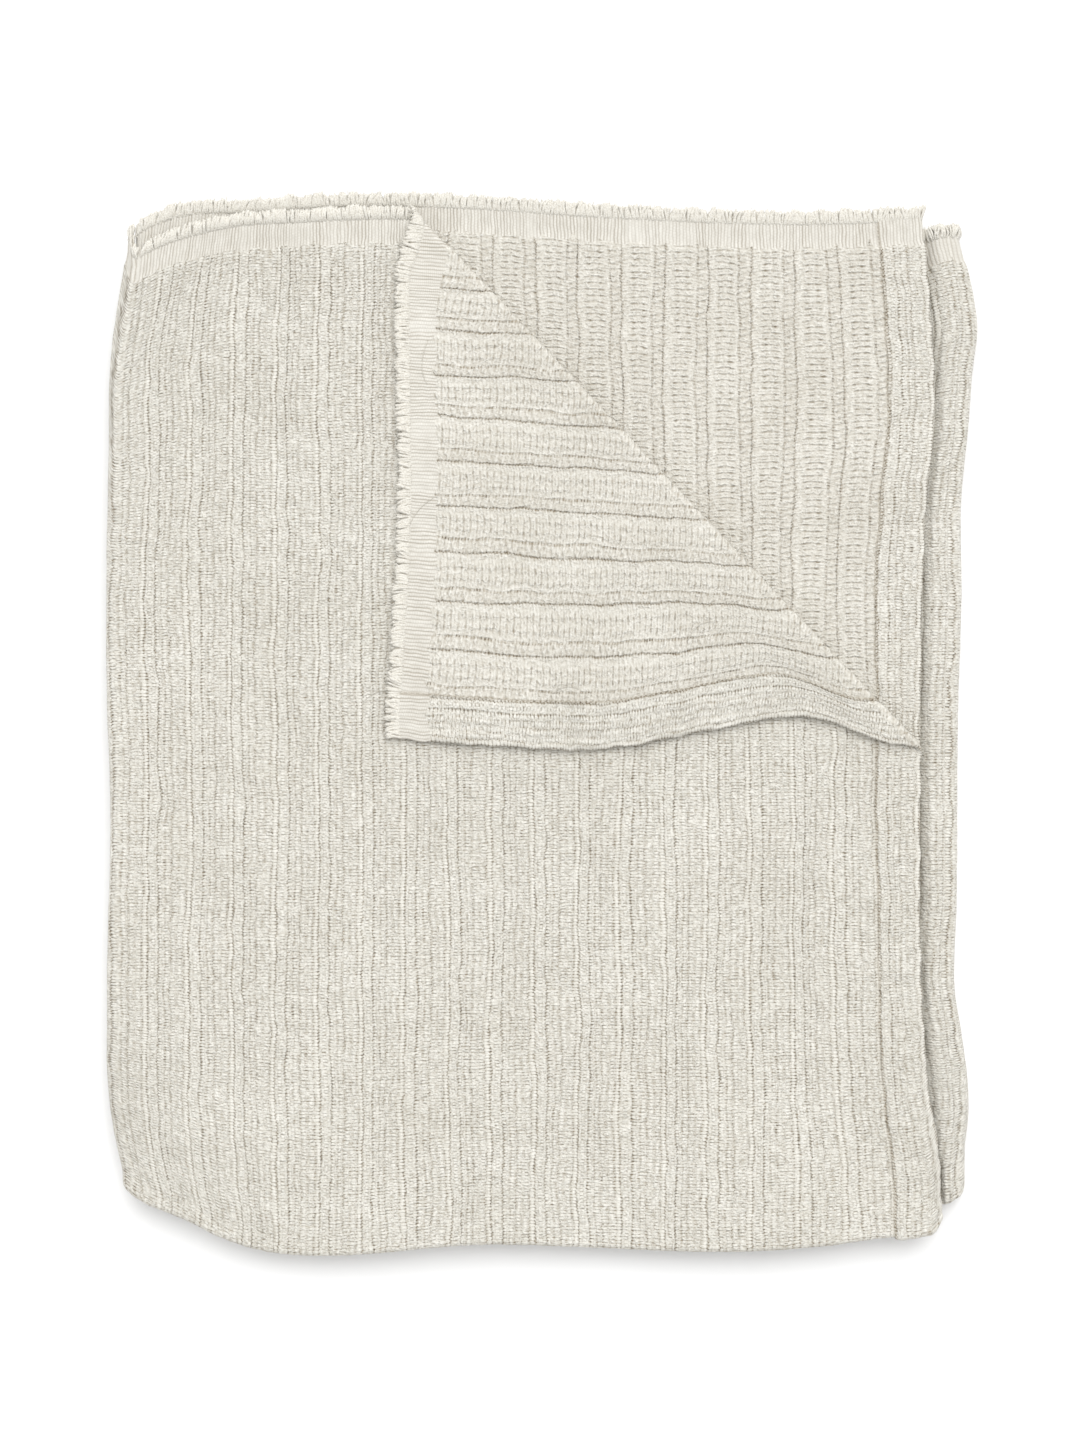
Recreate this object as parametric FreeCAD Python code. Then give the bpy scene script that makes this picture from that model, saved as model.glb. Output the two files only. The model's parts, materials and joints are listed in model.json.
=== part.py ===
"""Folded cotton throw: one woven cloth folded in half, then in three like a Z, with one corner turned back.

Frame: +X to the right, +Y towards the selvedge edges, +Z up, origin at the centre of the base.
Six leaves lie on each other. Each panel of the Z is two leaves joined by the front fold.
"""
import FreeCAD
import Part
import math
import os
from collections import namedtuple
from FreeCAD import Vector

# Driving dimensions, in millimetres
HALF_WIDTH = 272.0
HALF_LENGTH = 331.0
CLOTH = 3.6  # the ribbed field, as it lies
PITCH = 5.0  # from one leaf's middle to the next one's
TAPE_WIDTH = 19.0
TAPE = 1.8
FRINGE_WIDTH = 5.5
FRINGE = 1.2
HEM_WIDTH = 28.0
HEM = 4.4
STITCH_LENGTH = 7.0
STITCH_STEP = 12.0
STITCH_WIDTH = 0.8
SEAM = 1.0  # between the field and its hem, where the stitches pass through
CLEAR = 0.3  # between bodies at a crease

# The folded cloth's outline, in millimetres
TOP_RIGHT = 240.0  # outer edge of the top panel's hems
BASE_LEFT = -224.0  # outer edge of the base panel's hems
CORNER_START = -87.0  # where the turned corner leaves the top panel's back edge
CORNER_ANGLE = 46.7  # degrees, from the back edge down to the diagonal crease
SPLAY = 22.0  # how much the lower panels' front edge draws in at the right

# Worked out from the above
INNER_R = PITCH / 2
OUTER_R = 3 * PITCH / 2
FOLD_REACH = OUTER_R + CLOTH / 2
AXIS_X = HALF_WIDTH - FOLD_REACH
FRONT_Y = INNER_R + CLOTH / 2 - HALF_LENGTH
BORDER = FRINGE_WIDTH + TAPE_WIDTH
LOWEST = CLOTH / 2  # the first leaf's middle
RIGHT_AXIS_Z = LOWEST + 1.5 * PITCH
LEFT_AXIS_Z = LOWEST + 3.5 * PITCH
CORNER_AXIS_Z = LOWEST + 5.5 * PITCH

# Back edges are the fringe's tips and front edges the front fold's axis, both from left to right
MIDDLE_BACK = [Vector(-AXIS_X, 312, 0), Vector(AXIS_X, 307, 0)]
LOWER_FRONT = [Vector(-AXIS_X, FRONT_Y + 8, 0), Vector(AXIS_X, FRONT_Y + 8 + SPLAY, 0)]
TOP_FRONT = [Vector(-AXIS_X, FRONT_Y, 0), Vector(TOP_RIGHT, FRONT_Y, 0)]
TOP_LOWER_BACK = [
    Vector(-AXIS_X, 317, 0),
    Vector(CORNER_START, HALF_LENGTH, 0),
    Vector(TOP_RIGHT, 317, 0),
]
TOP_UPPER_BACK = [
    Vector(-AXIS_X, 298, 0),
    Vector(CORNER_START, 322, 0),
    Vector(TOP_RIGHT, 303, 0),
]
CORNER = TOP_UPPER_BACK[1] + Vector(0, 0, CORNER_AXIS_Z)
DIAGONAL = Vector(math.cos(math.radians(CORNER_ANGLE)), -math.sin(math.radians(CORNER_ANGLE)), 0)

Panel = namedtuple("Panel", "name leaves left right front back hem")
PANELS = [
    Panel("base", (0, 1), BASE_LEFT, AXIS_X, LOWER_FRONT, (MIDDLE_BACK, MIDDLE_BACK), "left"),
    Panel("middle", (2, 3), -AXIS_X, AXIS_X, LOWER_FRONT, (MIDDLE_BACK, MIDDLE_BACK), None),
    Panel("top", (4, 5), -AXIS_X, TOP_RIGHT, TOP_FRONT, (TOP_LOWER_BACK, TOP_UPPER_BACK), "right"),
]


def leaf_height(leaf):
    return LOWEST + leaf * PITCH


def y_at(line, x):
    """The Y of a line of points at x."""
    for a, b in zip(line, line[1:]):
        if x <= b.x:
            return a.y + (b.y - a.y) * (x - a.x) / (b.x - a.x)
    return line[-1].y


def stretch(line, x0, x1, shift=0.0):
    """The part of a line between x0 and x1, moved along Y."""
    inside = [p.x for p in line if x0 < p.x < x1]
    return [Vector(x, y_at(line, x) + shift, 0) for x in (x0, *inside, x1)]


def slab(outline, height, thickness):
    """A flat solid over an outline, with its middle at a height."""
    points = [Vector(p.x, p.y, height - thickness / 2) for p in outline]
    face = Part.Face(Part.makePolygon([*points, points[0]]))
    return face.extrude(Vector(0, 0, thickness))


def band(line, x0, x1, near, far, height, thickness):
    """A strip along a back edge, from one depth behind its tips to another."""
    outline = stretch(line, x0, x1, -near) + stretch(line, x0, x1, -far)[::-1]
    return slab(outline, height, thickness)


def field(back, front, x0, x1, height, thickness):
    """Cloth from the border's inner edge to the front fold."""
    outline = stretch(back, x0, x1, -BORDER) + stretch(front, x0, x1)[::-1]
    return slab(outline, height, thickness)


def half_ring(centre, outward, radius, thickness, sweep):
    """Cloth bent half round an axis through centre, bulging outward, swept along the axis."""
    up = Vector(0, 0, 1)
    outer, inner = radius + thickness / 2, radius - thickness / 2

    def arc(r):
        return Part.Arc(centre - up * r, centre + outward * r, centre + up * r).toShape()

    ends = [
        Part.makeLine(centre + up * inner, centre + up * outer),
        Part.makeLine(centre - up * inner, centre - up * outer),
    ]
    wire = Part.Wire(Part.__sortEdges__([arc(outer), arc(inner), *ends]))
    return Part.Face(wire).extrude(sweep)


def stitches(x, y0, y1, height):
    """A row of thread stitches through the seam between a field and its hem."""
    count = int((y1 - y0) // STITCH_STEP)
    row = []
    for i in range(count):
        corner = Vector(x, y0 + i * STITCH_STEP, height - HEM / 2)
        row.append(Part.makeBox(STITCH_WIDTH, STITCH_LENGTH, HEM, corner))
    return row


def leaf_parts(panel, leaf, back):
    """One leaf's field, selvedge, fringe, and hem with its stitches where it has one."""
    height = leaf_height(leaf)
    x0 = panel.left + (CLEAR if panel.hem != "left" else 0)
    x1 = panel.right - (CLEAR if panel.hem != "right" else 0)
    parts = {
        "selvedge": [band(back, x0, x1, FRINGE_WIDTH, BORDER, height, TAPE)],
        "fringe": [band(back, x0, x1, 0, FRINGE_WIDTH, height, FRINGE)],
    }
    if panel.hem:
        if panel.hem == "right":
            hem_x = (x1 - HEM_WIDTH, x1)
            seam_x = x1 - HEM_WIDTH - SEAM
            x1 = seam_x
        else:
            hem_x = (x0, x0 + HEM_WIDTH)
            seam_x = x0 + HEM_WIDTH
            x0 = seam_x + SEAM
        hem_z = max(height, HEM / 2)
        parts["hem"] = [field(back, panel.front, *hem_x, hem_z, HEM)]
        y0 = y_at(panel.front, seam_x) + STITCH_LENGTH
        y1 = y_at(back, seam_x) - BORDER
        parts["stitching"] = stitches(seam_x + (SEAM - STITCH_WIDTH) / 2, y0, y1, hem_z)
    parts["leaf"] = [field(back, panel.front, x0, x1, height, CLOTH)]
    return parts


def front_fold(panel):
    """The half fold that joins a panel's two leaves along the front."""
    x0 = panel.left + (CLEAR if panel.hem != "left" else 0)
    x1 = panel.right - (CLEAR if panel.hem != "right" else 0)
    start, end = stretch(panel.front, x0, x1)
    lift = Vector(0, 0, LOWEST + (panel.leaves[0] + 0.5) * PITCH)
    return half_ring(start + lift, Vector(0, -1, 0), INNER_R, CLOTH, end - start)


def side_fold(side, axis_z, front, back):
    """A crease of the Z: an inner and an outer ply, with the border's own bent strips."""
    x = side * AXIS_X
    y_front, y_back = y_at(front, x), y_at(back, x)
    outward = Vector(side, 0, 0)

    def ply(radius, thickness, y0, y1):
        return half_ring(Vector(x, y0, axis_z), outward, radius, thickness, Vector(0, y1 - y0, 0))

    radii = {"inner": INNER_R, "outer": OUTER_R}
    parts = {name: [ply(r, CLOTH, y_front, y_back - BORDER)] for name, r in radii.items()}
    tape_ends = (y_back - BORDER, y_back - FRINGE_WIDTH)
    parts["selvedge"] = [ply(r, TAPE, *tape_ends) for r in radii.values()]
    parts["fringe"] = [ply(r, FRINGE, tape_ends[1], y_back) for r in radii.values()]
    return parts


def corner_prism(side):
    """Everything on one side of the diagonal crease: -1 stays, +1 is turned back."""
    size = 4 * HALF_LENGTH
    y0 = CLEAR if side > 0 else -CLEAR - size
    block = Part.makeBox(2 * size, size, size, Vector(-size, y0, -size / 2))
    block.rotate(Vector(0, 0, 0), Vector(0, 0, 1), -CORNER_ANGLE)
    block.translate(CORNER)
    return block


def turned(shape):
    """A shape turned half round about the diagonal crease."""
    copy = shape.copy()
    copy.rotate(CORNER, DIAGONAL, 180)
    return copy


def split_corner(solids, prism):
    """The solids' pieces inside a prism."""
    return [piece for solid in solids for piece in solid.common(prism).Solids]


def corner_roll():
    """The cloth's bend along the diagonal crease."""
    length = (TOP_RIGHT - CORNER_START) / DIAGONAL.x
    start = CORNER + DIAGONAL * BORDER
    outward = Vector(-DIAGONAL.y, DIAGONAL.x, 0)
    sweep = DIAGONAL * (length - BORDER - HEM_WIDTH)
    return half_ring(start, outward, PITCH / 2, CLOTH, sweep)


def build():
    nodes = {}
    for panel in PANELS:
        stitching = []
        for word, leaf, back in zip(("lower", "upper"), panel.leaves, panel.back):
            parts = leaf_parts(panel, leaf, back)
            if panel.name == "top" and word == "upper":
                flap = {k: split_corner(v, corner_prism(1)) for k, v in parts.items()}
                nodes.update({f"flap_{k}": [turned(s) for s in v] for k, v in flap.items()})
                parts = {k: split_corner(v, corner_prism(-1)) for k, v in parts.items()}
            stitching += parts.pop("stitching", [])
            nodes.update({f"{panel.name}_{word}_{k}": v for k, v in parts.items()})
        if stitching:
            nodes[f"{panel.name}_stitching"] = stitching
        nodes[f"{panel.name}_front_fold"] = [front_fold(panel)]
    right = side_fold(1, RIGHT_AXIS_Z, LOWER_FRONT, MIDDLE_BACK)
    left = side_fold(-1, LEFT_AXIS_Z, LOWER_FRONT, TOP_UPPER_BACK)
    nodes.update({f"right_fold_{k}": v for k, v in right.items()})
    nodes.update({f"left_fold_{k}": v for k, v in left.items()})
    nodes["corner_roll"] = [corner_roll()]
    return nodes


os.makedirs("parts", exist_ok=True)
for name, solids in build().items():
    shape = solids[0] if len(solids) == 1 else Part.makeCompound(solids)
    shape.exportStep(f"parts/{name}.step")
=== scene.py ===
import json
import math
import bmesh
import bpy
import numpy as np
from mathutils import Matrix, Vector


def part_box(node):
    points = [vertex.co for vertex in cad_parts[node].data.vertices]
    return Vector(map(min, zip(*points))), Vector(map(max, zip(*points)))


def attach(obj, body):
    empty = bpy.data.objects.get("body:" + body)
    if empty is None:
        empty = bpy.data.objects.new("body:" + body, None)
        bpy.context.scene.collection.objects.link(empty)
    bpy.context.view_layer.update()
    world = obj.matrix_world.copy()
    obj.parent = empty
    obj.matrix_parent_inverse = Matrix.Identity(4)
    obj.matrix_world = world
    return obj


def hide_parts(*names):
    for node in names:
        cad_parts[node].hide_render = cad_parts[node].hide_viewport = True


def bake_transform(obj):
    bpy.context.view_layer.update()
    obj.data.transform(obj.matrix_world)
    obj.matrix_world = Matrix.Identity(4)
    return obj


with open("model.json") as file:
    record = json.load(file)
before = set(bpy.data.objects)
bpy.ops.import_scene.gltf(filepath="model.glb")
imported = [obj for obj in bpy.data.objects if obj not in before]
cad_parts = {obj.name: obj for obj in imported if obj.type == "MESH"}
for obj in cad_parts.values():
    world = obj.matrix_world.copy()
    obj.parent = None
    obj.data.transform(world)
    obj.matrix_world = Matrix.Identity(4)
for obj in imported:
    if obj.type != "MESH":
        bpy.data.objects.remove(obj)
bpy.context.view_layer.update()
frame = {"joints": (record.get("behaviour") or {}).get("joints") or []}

# The throw is one cloth with its own coordinates, in millimetres: s runs along its length, across the ribs,
# from the top panel's hem to the base panel's, and t runs from one selvedge to the other. place() folds it.
MM = 0.001
TAU = 2 * math.pi


def cad_box(node):
    low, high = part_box(node)
    return np.array(low) / MM, np.array(high) / MM


def cad_height(node):
    low, high = cad_box(node)
    return (low[2] + high[2]) / 2


# Places that the frame settles
JOINTS = {joint["name"]: joint for joint in frame["joints"]}
AXIS_X = JOINTS["right_fold"]["pos_m"][0] / MM
RIGHT_Z = JOINTS["right_fold"]["pos_m"][2] / MM
LEFT_Z = JOINTS["left_fold"]["pos_m"][2] / MM
CREASE = np.array(JOINTS["corner_fold"]["pos_m"]) / MM
CREASE_ALONG = -np.array(JOINTS["corner_fold"]["axis"])
CREASE_ACROSS = np.array([-CREASE_ALONG[1], CREASE_ALONG[0]])
LEAVES = ["base_lower", "base_upper", "middle_lower", "middle_upper", "top_lower", "top_upper"]
HEIGHTS = [cad_height(f"{leaf}_leaf") for leaf in LEAVES]
PITCH = HEIGHTS[5] - HEIGHTS[4]
TOP_RIGHT = cad_box("top_upper_hem")[1][0]
BASE_LEFT = cad_box("base_upper_hem")[0][0]
HEM = np.ptp(cad_box("base_upper_hem"), axis=0)[0]
TAPE = np.ptp(cad_box("left_fold_selvedge"), axis=0)[1]
FRINGE = np.ptp(cad_box("left_fold_fringe"), axis=0)[1]
FRONT = cad_box("top_upper_leaf")[0][1]
TIPS = cad_box("top_upper_fringe")[1][1]
BACK = TIPS - FRINGE
FLOOR_GAP = 0.02

# Lengths along the cloth
HALF_R = PITCH / 2
BEND_R = PITCH
ROLL_R = PITCH / 2
LEAF = BACK - FRONT
HALF = math.pi * HALF_R
ROLL = math.pi * ROLL_R
T_END = 2 * LEAF + HALF
BEND = math.pi * BEND_R
TOP_END = TOP_RIGHT + AXIS_X
MIDDLE_START = TOP_END + BEND
MIDDLE_END = MIDDLE_START + 2 * AXIS_X
BASE_START = MIDDLE_END + BEND
S_END = BASE_START + AXIS_X - BASE_LEFT

# The weave, in millimetres. Columns are (from, to, height) within one repeat of the ribs
RIB = 27.0
RIGHT_COLUMNS = [(0, 3.4, 0.22), (3.4, 12.2, 0.3), (12.2, 20.2, 0.26), (20.2, 27, 0.22)]
WRONG_COLUMNS = [(0, 7.2, 0.42), (7.2, 27, 0.34)]
FINE_RIB = [0, 0.4, 1.0, 1.7, 2.5, 3.1, 3.4, 3.8, 5.0, 7.0, 7.5, 9.5, 11.4, 12.2, 12.8, 14.2, 16.2, 18.2]
FINE_RIB += [19.6, 20.2, 20.8, 22, 23.6, 25.2, 26.4]
COARSE_RIB = [0, 0.8, 2.5, 3.4, 4.4, 7.2, 9.5, 11.6, 12.2, 13.2, 16.2, 19.2, 20.2, 21.4, 23.6, 26]
FIELD_HALF = 1.25
TAPE_HALF = 0.6
HEM_HALF = 2.3
STITCH = 3.4

# How the outlines of the folded pile wander: (place along the edge, place of the edge), in millimetres
TOP_LEAF_BACK = [(-275, 292), (-262, 300), (-212, 316), (-150, 321), (-87, 323), (0, 319), (260, 304)]
UNDER_LEAF_BACK = [(-275, 309), (-254, 320), (-179, 328), (-101, 332), (-60, 331), (52, 324)]
UNDER_LEAF_BACK += [(200, 321), (246, 324)]
LOWER_BACK = [(-275, 295), (-262, 301), (-100, 312), (200, 305), (235, 305), (250, 310)]
LOWER_BACK += [(262, 313), (275, 312)]
TOP_FRONT = [(-275, -287), (-257, -299), (-232, -309), (-208, -320), (-25, -325), (180, -325)]
TOP_FRONT += [(205, -321), (226, -320), (236, -316), (241, -307)]
LOWER_FRONT = [(-275, -286), (-250, -300), (0, -308), (200, -300), (240, -299), (264, -299)]
LOWER_FRONT += [(270, -294), (273, -286)]
LEFT_SHIFT = [(-320, 10), (-294, 5), (-269, 2), (-175, 0), (-50, 2), (12, 0), (169, 1), (244, 3)]
LEFT_SHIFT += [(284, 9), (320, 14)]
HEM_SHIFT = [(-320, 11), (-294, 10), (-240, 3), (-175, -1), (-12, -2), (137, 2), (190, 7)]
HEM_SHIFT += [(250, 5), (320, -1)]
RIGHT_SHIFT = [(-300, -4), (-281, -2), (-206, -6), (-175, -10), (-112, -9), (12, -8), (75, -6), (144, -6)]
RIGHT_SHIFT += [(186, -2), (227, 1), (257, 4), (278, 1), (312, -7)]
FLAP_BOTTOM = [(-100, -15), (-40, -10), (15, -7), (102, 4), (152, 14), (202, 13), (235, 8)]
FLAP_SIDE = [(-30, -9), (12, -15), (40, -13), (112, -8), (237, -9), (322, -10)]


def smooth(value, low, high):
    """0 below low, 1 above high, and a smooth step between."""
    share = np.clip((value - low) / (high - low), 0, 1)
    return share * share * (3 - 2 * share)


def curve(x, points):
    """A smooth line through a few points, flat past its ends."""
    px, py = np.array(points, float).T
    slope = np.gradient(py, px)
    i = np.clip(np.searchsorted(px, x) - 1, 0, len(px) - 2)
    step = px[i + 1] - px[i]
    u = np.clip((x - px[i]) / step, 0, 1)
    rise = (2 * u**3 - 3 * u**2 + 1) * py[i] + (3 * u**2 - 2 * u**3) * py[i + 1]
    return rise + step * ((u**3 - 2 * u**2 + u) * slope[i] + (u**3 - u**2) * slope[i + 1])


def ripple(x, y, x_size, y_size, seed, waves=7):
    """Smooth noise, mostly between -1 and 1, with features of about the given sizes."""
    rng = np.random.default_rng(seed)
    total = 0.0
    for _ in range(waves):
        angle, phase = rng.uniform(0, TAU, 2)
        size = rng.uniform(0.6, 1.6)
        across = x / x_size * math.cos(angle) + y / y_size * math.sin(angle)
        total = total + np.sin(across * TAU / size + phase)
    return total / math.sqrt(waves)


# Folding


def half_fold(t):
    """Y, and the height above the panel's middle, where the cloth is folded in half along the front."""
    angle = np.clip((t - LEAF) / HALF_R, 0, math.pi)
    y = np.where(t > LEAF + HALF / 2, FRONT + np.maximum(t - LEAF - HALF, 0), BACK - np.minimum(t, LEAF))
    return y - HALF_R * np.sin(angle), HALF_R * np.cos(angle)


def zig_zag(s, lift):
    """X and Z where the cloth is folded in three, with lift from the panel's middle surface."""
    left = np.clip((s - TOP_END) / BEND_R, 0, math.pi)
    right = np.clip((s - MIDDLE_END) / BEND_R, 0, math.pi)
    on_left = s < (MIDDLE_START + MIDDLE_END) / 2
    x_left = np.where(s < TOP_END, TOP_RIGHT - s, np.maximum(s - MIDDLE_START, 0) - AXIS_X)
    x_right = np.where(s < BASE_START, AXIS_X + np.minimum(s - MIDDLE_END, 0), AXIS_X + BASE_START - s)
    r_left, r_right = BEND_R + lift, BEND_R - lift
    x = np.where(on_left, x_left - r_left * np.sin(left), x_right + r_right * np.sin(right))
    z = np.where(on_left, LEFT_Z + r_left * np.cos(left), RIGHT_Z + r_right * np.cos(right))
    return x, z


def settle_outline(x, y, z):
    """Moves the pile's straight edges to where they lie on the real one."""
    top = smooth(z, HEIGHTS[3], HEIGHTS[4])
    upper = smooth(z, HEIGHTS[4], HEIGHTS[5])
    under = curve(x, UNDER_LEAF_BACK)
    back = curve(x, LOWER_BACK) * (1 - top) + top * (under + upper * (curve(x, TOP_LEAF_BACK) - under))
    front = curve(x, LOWER_FRONT) * (1 - top) + top * curve(x, TOP_FRONT)
    right = curve(y, RIGHT_SHIFT) * (1 - top) + top * curve(y, HEM_SHIFT)
    new_y = y + (back - TIPS) * smooth(y, 40, TIPS - 10) + (front - FRONT) * smooth(-y, 150, -FRONT)
    new_x = x + curve(y, LEFT_SHIFT) * smooth(-x, 120, AXIS_X) + right * smooth(x, 110, TOP_RIGHT)
    return new_x, new_y


def turn_corner(x, y):
    """Rolls what lies past the crease back over the top leaf: X, Y, lift and how far past the roll."""
    past = (x - CREASE[0]) * CREASE_ACROSS[0] + (y - CREASE[1]) * CREASE_ACROSS[1]
    angle = np.clip(past / ROLL_R, 0, math.pi)
    beyond = np.maximum(past - ROLL, 0)
    moved = np.where(past > 0, ROLL_R * np.sin(angle) - beyond - past, 0)
    return x + moved * CREASE_ACROSS[0], y + moved * CREASE_ACROSS[1], ROLL_R * (1 - np.cos(angle)), beyond


def shape_flap(x, y, beyond):
    """How the turned corner strays from a straight copy: X, Y and lift."""
    share = smooth(beyond, 2, 45)
    bottom = CREASE[1] - (TOP_RIGHT - CREASE[0])
    y_share = smooth(-y, -bottom - 150, -bottom) * share
    x_share = smooth(-x, -10, -CREASE[0]) * smooth(beyond, 0, 25)
    new_y = y + curve(x, FLAP_BOTTOM) * y_share
    new_x = x + curve(y, FLAP_SIDE) * x_share
    hem = smooth(-new_y, -45, 10) * share
    # no higher than this, or the opened corner would dip further into the leaf below it
    lift = hem * np.clip(0.55 * ripple(new_x, new_y, 22, 60, 5) - 0.35, -0.9, 0.3) + 0.1 * share
    return new_x, new_y, lift


def wander(s, t):
    """Moves the ribs a little along the cloth, and less at its two ends, which are lumpy instead."""
    calm = smooth(s, 0, 30) * smooth(S_END - s, 0, 30)
    lumps = (1 - calm) * 0.55 * ripple(s, t, 50, 15, 6)
    return s + calm * (0.9 * ripple(s, t, 60, 130, 1) + 0.35 * ripple(s, t, 30, 36, 2)) + lumps


def place(s, t):
    """Where the cloth's middle surface lies at (s, t)."""
    s = wander(s, t)
    y, lift = half_fold(t)
    x, z = zig_zag(s, lift)
    x, y = settle_outline(x, y, z)
    top_leaf = (s < TOP_END) & (t < LEAF)
    turned_x, turned_y, roll, beyond = turn_corner(x, y)
    turned_x, turned_y, flap_lift = shape_flap(turned_x, turned_y, beyond)
    x, y = np.where(top_leaf, turned_x, x), np.where(top_leaf, turned_y, y)
    z = z + np.where(top_leaf, roll + flap_lift, 0)
    # the plies close up towards each side fold, evenly about its axis
    near_left = 1 - 0.14 * smooth(-x, AXIS_X - 45, AXIS_X) * (z > RIGHT_Z)
    near_right = 1 - 0.14 * smooth(x, AXIS_X - 25, AXIS_X) * (z < LEFT_Z)
    z = LEFT_Z + (z - LEFT_Z) * near_left
    z = RIGHT_Z + (z - RIGHT_Z) * near_right
    # the lower panels are pressed together beside the top panel's hem and puff up past it
    past_hem = x - TOP_RIGHT - curve(y, HEM_SHIFT)
    share = past_hem / (AXIS_X - TOP_RIGHT + curve(y, RIGHT_SHIFT) - curve(y, HEM_SHIFT))
    puff = 0.2 * smooth(share, 0.15, 0.55) * smooth(-share, -1, -0.6)
    dip = 0.2 * np.exp(-(((past_hem - 1) / 2.4) ** 2)) - puff
    z = z - dip * (z < LEFT_Z) * (z - HEIGHTS[0])
    z = z * (1 + 0.022 * ripple(x, y, 150, 190, 3) + 0.012 * ripple(x, y, 55, 60, 4))
    return np.stack([x, y, z], axis=-1)


def surface(s, t):
    """The middle surface with its normal, on the cloth's right side, and its two tangents."""
    step = 0.05
    along_s = (place(s + step, t) - place(s - step, t)) / (2 * step)
    along_t = (place(s, t + step) - place(s, t - step)) / (2 * step)
    normal = np.cross(along_s, along_t)
    normal /= np.linalg.norm(normal, axis=-1, keepdims=True)
    return place(s, t), normal, along_s, along_t


# The weave's relief


def columns(s, t, parts):
    """The height of the ribs' rounded columns."""
    p = np.mod(s, RIB)
    height = 0.0
    for i, (start, stop, rise) in enumerate(parts):
        u = np.clip((p - start) / (stop - start), 0, 1)
        swell = 1 + 0.22 * ripple(s, t, 40, 24, 20 + i) + 0.12 * ripple(s, t, 30, 7, 30 + i)
        height = height + rise * swell * (4 * u * (1 - u)) ** 0.6
    return height


def into_field(s, t):
    """0 on a selvedge tape and 1 in the ribbed field, with a ragged start."""
    depth = np.minimum(t, T_END - t)
    ragged = 1.4 * ripple(s, t * 0, 9, 1, 41)
    return smooth(depth, TAPE - 1.0 + ragged * 0.5, TAPE + 4.5 + ragged)


def rounded_end(s):
    """0 at a hem's outer edge, rising like a quarter circle to 1."""
    depth = np.clip(np.minimum(s, S_END - s) / 3.6, 0, 1)
    return np.sqrt(np.clip(1 - (1 - depth) ** 2, 0.0004, 1))


def half_thickness(s, t, parts):
    """How far a face of the cloth stands from its middle surface."""
    field = FIELD_HALF + columns(s, t, parts) + 0.08 * ripple(s, t, 16, 11, 44)
    edge = np.minimum(s, S_END - s)
    crease = 1.0 * np.exp(-(((edge - HEM) / 1.4) ** 2)) * (0.8 + 0.2 * np.cos(TAU * t / STITCH / 3))
    pucker = 0.2 * ripple(s, t, 30, 9, 45) + 0.42 * ripple(s, t, 8, 55, 46)
    hem = HEM_HALF + pucker + 0.3 * (columns(s, t, parts) - 0.5) - (crease if parts is RIGHT_COLUMNS else 0)
    field = np.where(edge < HEM, hem, field - 0.6 * (crease if parts is RIGHT_COLUMNS else 0))
    tape = TAPE_HALF * np.where(edge < HEM, 1.7, 1.0)
    return (tape + (field - tape) * into_field(s, t)) * rounded_end(s)


# Meshes


def steps(low, high, step):
    return np.linspace(low, high, max(2, int(round((high - low) / step)) + 1))


def rib_lines(low, high, offsets):
    """The places across the ribs where a mesh needs a line, with more at a hem's rounded edge."""
    repeats = np.arange(int(low // RIB), int(high // RIB) + 1) * RIB
    found = (repeats[:, None] + np.array(offsets)).ravel()
    ends = np.array([0, 0.08, 0.3, 0.7, 1.3, 2.1, 3.0, 4.0])
    found = np.concatenate([found, ends, S_END - ends, [HEM - 2, HEM - 1, HEM + 1, HEM + 2]])
    found = np.sort(found[(found > low + 0.04) & (found < high - 0.04)])
    keep = np.concatenate([[True], np.diff(found) > 0.04]) if len(found) else []
    return np.concatenate([[low], found[keep], [high]])


def edge_lines(low, high, step):
    """The places along the ribs where a mesh needs a line, with more where the field begins."""
    found = steps(low, high, step)
    starts = np.array([TAPE + d for d in (0.8, 1.8, 3.0, 4.4, 6.0)])
    extra = np.concatenate([starts, T_END - starts])
    found = np.concatenate([found, extra[(extra > low + 0.3) & (extra < high - 0.3)]])
    found = np.sort(found)
    return found[np.concatenate([[True], np.diff(found) > 0.25])]


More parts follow.
